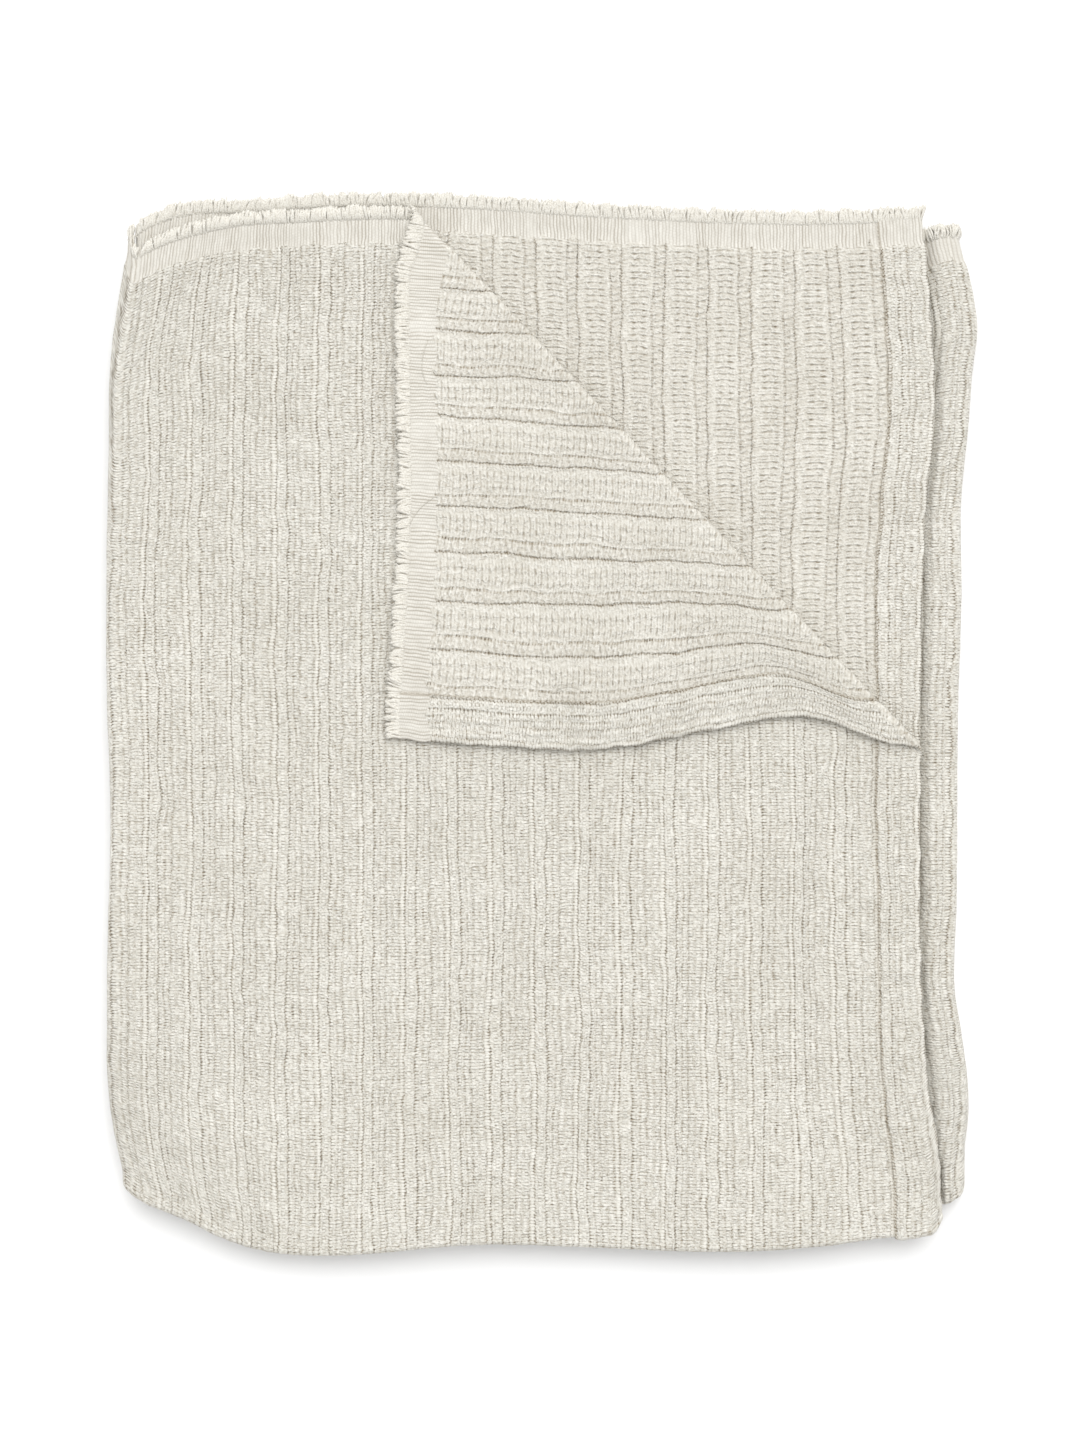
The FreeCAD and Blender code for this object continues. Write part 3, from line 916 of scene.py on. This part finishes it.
# Fringes: the cut ends of the weft, standing out of each selvedge
def fringe_ends(s_from, s_to, large, seed):
    """Paths and radii of the tufts and stray ends along a leaf, and how far past the crease each starts."""
    rng = np.random.default_rng(seed)
    count = 8
    share = np.linspace(0, 1, count)
    seat = smooth(share, 0, 0.28)
    paths, radii, starts = [], [], []
    for pitch, thick, rows in ((0.95, 1.15, 2), (1.7, 0.24, 1)):
        s = np.repeat(np.arange(s_from + pitch / 2, s_to, pitch), rows)
        s = s + rng.uniform(-0.45, 0.45, len(s)) * pitch
        yarns = len(s)
        row = np.where(np.arange(yarns) % 2 == 0, 1, -1)
        long, wild = (1.2, 2.2) if rows == 1 else (1.0, 1.0)
        length = rng.uniform(10.2, 11.8, yarns) * rng.uniform(0.88, long, yarns)
        length = length + 0.9 * ripple(s, s * 0, 11, 1, seed)
        clump = 3.7 * np.round((s + 1.2 * ripple(s, s * 0, 16, 1, seed + 2)) / 3.7) - s
        lean = rng.normal(0, 0.9, yarns) + 1.2 * ripple(s, s * 0, 8, 1, seed + 1) + 0.1 * clump
        lean = lean[:, None] * share**1.3 * 1.4
        turns = rng.uniform(2, 5, yarns)[:, None] * wild**0.5
        curl = rng.uniform(0.3, 1.1, yarns)[:, None] * wild * np.sin(share * turns)
        out = length[:, None] * share * (1 - 0.14 * share) - 5.6
        t = T_END + out if large else -out
        stray = 0.4 * share * rng.uniform(-1.0, 0.8, yarns)[:, None]
        rise = row[:, None] * (1.15 + stray) * seat + curl * 0.5 * seat
        paths.append(on_cloth(s[:, None] + lean + 0.4 * curl, t, rise))
        shape = (0.6 + 0.9 * share - 0.35 * share**2) * np.sqrt(np.clip(1.02 - share**6, 0, 1))
        taper = shape if rows == 2 else 1 - 0.5 * share
        radii.append(rng.uniform(0.7, 1.2, yarns)[:, None] * thick * taper)
        starts.append(s)
    s = np.concatenate(starts)
    y, lift = half_fold(np.full(len(s), T_END if large else 0.0))
    x, z = zig_zag(s, lift)
    x, y = settle_outline(x, y, z)
    past = (x - CREASE[0]) * CREASE_ACROSS[0] + (y - CREASE[1]) * CREASE_ACROSS[1]
    return np.concatenate(paths), np.concatenate(radii), past


def fringe(name, node, s_from, s_to, large, seed):
    paths, radii, _ = fringe_ends(s_from, s_to, large, seed)
    keep_piece(name, tubes(name, paths, radii, FRINGE_YARN), [node])


# Stitches: one row beside each hem, on both faces
def stitch_row(t_lines, at_end, face):
    """Paths and radii of stitches that follow a hem's crease, one to each of t_lines."""
    count, length = 5, 0.68 * STITCH
    share = np.linspace(-1, 1, count)
    t = t_lines[:, None] + share * length / 2
    s = np.full(t.shape, S_END - HEM - 0.2 if at_end else HEM + 0.2) + 0.12 * np.sin(t * 1.7)
    parts = RIGHT_COLUMNS if face > 0 else WRONG_COLUMNS
    ground = half_thickness(s, t, parts)
    height = face * (ground + 0.22 - 0.55 * share**2)
    return on_cloth(s, t, height), np.full(t.shape, 0.3) * (1 - 0.3 * share**4)


def stitching(name, node, t_lines, at_end, body):
    rows = [stitch_row(t_lines, at_end, face) for face in (1, -1)]
    paths, radii = (np.concatenate(parts) for parts in zip(*rows))
    keep_piece(name, tubes(name, paths, radii, THREAD, sides=6), [node], body)


for number, (panel, (start, stop, small, large)) in enumerate(PANELS.items()):
    for leaf, is_large in ((small, False), (large, True)):
        name = f"{panel}_{leaf}_fringe"
        seed = 100 + number * 2 + is_large
        if name == "top_upper_fringe":
            paths, radii, past = fringe_ends(start, stop, False, seed)
            shares = {
                "top_upper_fringe": (past <= 0, ["top_upper_fringe"]),
                "corner_roll_fringe": ((past > 0) & (past < ROLL), ["corner_roll"]),
                "flap_fringe": (past >= ROLL, ["flap_fringe"]),
            }
            for piece, (which, nodes) in shares.items():
                obj = tubes(piece, paths[which], radii[which], FRINGE_YARN)
                keep_piece(piece, obj, nodes)
            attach(made["top_upper_fringe"], "top_panel")
            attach(made["flap_fringe"], "corner_flap")
            roll(made["corner_roll_fringe"])
        else:
            fringe(name, name, start, stop, is_large, seed)
            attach(made[name], f"{panel}_panel")
for number, (fold, (start, stop, plies)) in enumerate(FOLDS.items()):
    for ply, is_large in plies:
        name = f"{fold}_fold_fringe_{ply}"
        fringe(name, f"{fold}_fold_fringe", start, stop, is_large, 120 + number * 2 + is_large)
        bend(made[name], fold, OUTER_R if ply == "outer" else INNER_R)

T_STITCHES = np.arange(TAPE * 0.3, T_END - TAPE * 0.3, STITCH)
Y_STITCHES, LIFT_STITCHES = half_fold(T_STITCHES)
X_STITCHES, Z_STITCHES = zig_zag(np.full(T_STITCHES.shape, HEM), LIFT_STITCHES)
X_STITCHES, Y_STITCHES = settle_outline(X_STITCHES, Y_STITCHES, Z_STITCHES)
PAST = (X_STITCHES - CREASE[0]) * CREASE_ACROSS[0] + (Y_STITCHES - CREASE[1]) * CREASE_ACROSS[1]
UPPER = T_STITCHES < LEAF + HALF / 2
STITCHED = {
    "top_upper_stitching": ("top_stitching", UPPER & (PAST < -STITCH / 2), False, "top_panel"),
    "flap_stitching": ("flap_stitching", UPPER & (PAST > ROLL + STITCH / 2), False, "corner_flap"),
    "top_lower_stitching": ("top_stitching", ~UPPER, False, "top_panel"),
    "base_upper_stitching": ("base_stitching", UPPER, True, "base_panel"),
    "base_lower_stitching": ("base_stitching", ~UPPER, True, "base_panel"),
}
for name, (node, which, at_end, body) in STITCHED.items():
    stitching(name, node, T_STITCHES[which], at_end, body)


# Loose threads that lie on the cloth: (s, t, s and t of the middle, s and t of the end), in millimetres
def loose_threads(name, spots, face, body):
    share = np.linspace(0, 1, 15)
    s, t = [], []
    for s0, t0, s1, t1, s2, t2 in spots:
        weights = np.stack([(1 - share) ** 2, 2 * share * (1 - share), share**2])
        s.append(np.array([s0, s1, s2]) @ weights)
        t.append(np.array([t0, t1, t2]) @ weights)
    s, t = np.array(s), np.array(t)
    parts = RIGHT_COLUMNS if face > 0 else WRONG_COLUMNS
    height = face * (half_thickness(s, t, parts) + 0.15 + 0.3 * np.sin(share * math.pi))
    radii = np.full(s.shape, 0.17)
    obj = tubes(name, on_cloth(s, t, height), radii, THREAD)
    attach(obj, body)
    return obj


FLAP_THREADS = [(120, 4, 134, 9, 141, 19), (210, 15, 222, 9, 238, 16), (60, 180, 72, 186, 70, 198)]
FLAP_THREADS += [(33, 90, 41, 99, 36, 108)]
TOP_THREADS = [(170, 420, 182, 428, 178, 440), (330, 300, 342, 296, 350, 306), (80, 560, 90, 566, 88, 578)]
TOP_THREADS += [(420, 150, 428, 162, 440, 160), (260, 610, 268, 600, 282, 604)]
flap_threads = loose_threads("flap_loose_threads", FLAP_THREADS, -1, "corner_flap")
top_threads = loose_threads("top_loose_threads", TOP_THREADS, 1, "top_panel")

# Each part of the cloth's flat size and the pieces that lie on it are worked out here, but not used
LEAF_WIDTH = (LEAF - TAPE) * MM


CORNERS = [[f"{fold}_fold_corner_{i + 1}" for i in range(RINGS)] for fold in FOLDS]
for place_in_pile, leaf in enumerate(LEAVES):
    panel = leaf.split("_")[0]
    start, stop, _, _ = PANELS[panel]
    length = (stop - start - (0 if panel == "middle" else HEM)) * MM
    on_it = [f"{leaf}_selvedge", f"{leaf}_fringe"]
    on_it += [] if panel == "middle" else [f"{leaf}_hem", f"{leaf}_stitching"]
    on_it += [f"{panel}_front_fold"] if leaf.endswith("lower") else []
    on_it += [top_threads] if leaf == "top_upper" else []
    inner = {"middle_upper": "left", "base_upper": "right"}.get(leaf)
    on_it += [f"{inner}_fold_{part}" for part in ("inner", "selvedge_inner", "fringe_inner")] if inner else []
    area = areas["stays"] if leaf == "top_upper" else None
flap_pieces = ["flap_selvedge", "flap_hem", "flap_fringe", "flap_stitching"]
flap_pieces += ["corner_roll", "corner_roll_fringe", flap_threads]
for fold, corners in zip(FOLDS, CORNERS):
    on_it = [f"{fold}_fold_selvedge_outer", f"{fold}_fold_fringe_outer", *corners]
    math.pi * OUTER_R * MM

# The floor, the light and the camera
FLOOR_SIZE = 6.0
floor_mesh = bpy.data.meshes.new("floor")
edge = FLOOR_SIZE / 2
floor_corners = [(-edge, -edge, 0), (edge, -edge, 0), (edge, edge, 0), (-edge, edge, 0)]
floor_mesh.from_pydata(floor_corners, [], [(0, 1, 2, 3)])
floor_paint = bpy.data.materials.new("floor")
floor_paint.use_nodes = True
floor_shader = floor_paint.node_tree.nodes["Principled BSDF"]
floor_shader.inputs["Base Color"].default_value = (0.93, 0.93, 0.93, 1)
floor_shader.inputs["Roughness"].default_value = 0.9
floor_mesh.materials.append(floor_paint)
floor = bpy.data.objects.new("floor", floor_mesh)
bpy.context.scene.collection.objects.link(floor)


def sun_light(name, direction, power, softness):
    data = bpy.data.lights.new(name, "SUN")
    data.energy, data.angle = power, softness
    light = bpy.data.objects.new(name, data)
    light.rotation_euler = Vector(direction).to_track_quat("Z", "Y").to_euler()
    bpy.context.scene.collection.objects.link(light)


sun_light("key", (0.1, 0.7, 1.1), 2.1, 0.9)
world = bpy.data.worlds.new("studio")
world.use_nodes = True
world.node_tree.nodes["Background"].inputs["Color"].default_value = (1.0, 1.0, 1.0, 1)
world.node_tree.nodes["Background"].inputs["Strength"].default_value = 0.82
bpy.context.scene.world = world
bpy.context.scene.view_settings.view_transform = "Standard"

LENS, SENSOR = 85.0, 36.0
VIEW_HEIGHT = 0.899  # metres that the picture's height takes in at the top leaf
camera_data = bpy.data.cameras.new("camera")
camera_data.lens, camera_data.sensor_width = LENS, SENSOR
camera = bpy.data.objects.new("camera", camera_data)
camera.location = (0, 0, VIEW_HEIGHT * LENS / SENSOR + HEIGHTS[-1] * MM)
bpy.context.scene.collection.objects.link(camera)
bpy.context.scene.camera = camera
